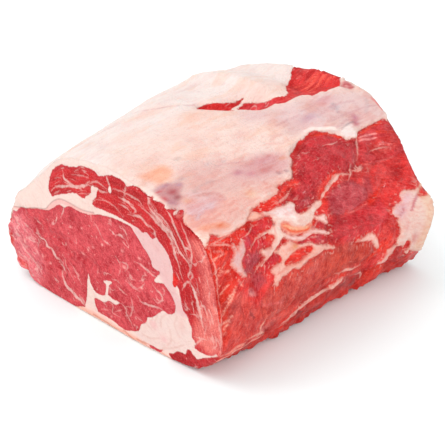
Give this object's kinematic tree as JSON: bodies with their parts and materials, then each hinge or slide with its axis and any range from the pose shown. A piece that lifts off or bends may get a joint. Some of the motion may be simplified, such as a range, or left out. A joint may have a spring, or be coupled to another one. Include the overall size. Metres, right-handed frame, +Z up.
{
  "type": "boneless ribeye joint",
  "caption": "Raw boneless ribeye joint of beef with a fat cap, cut flat across both ends, lying on its flat rib side.",
  "frame": {"origin": "middle of the flat rib side that the joint rests on, under the middle of its box", "axes": "+Z up, from the rib side to the fat cap; +X across the cut face, from the rounded chine side to the lip side; +Y along the loin, away from the cut face that shows the eye of the meat"},
  "size_m": [0.217, 0.1952, 0.1178],
  "materials": {
    "raw_beef": "moist raw beef, red lean with cream fat and seams"
  },
  "bodies": {
    "root": {"ribeye_joint": "raw_beef"}
  },
  "joints": []
}
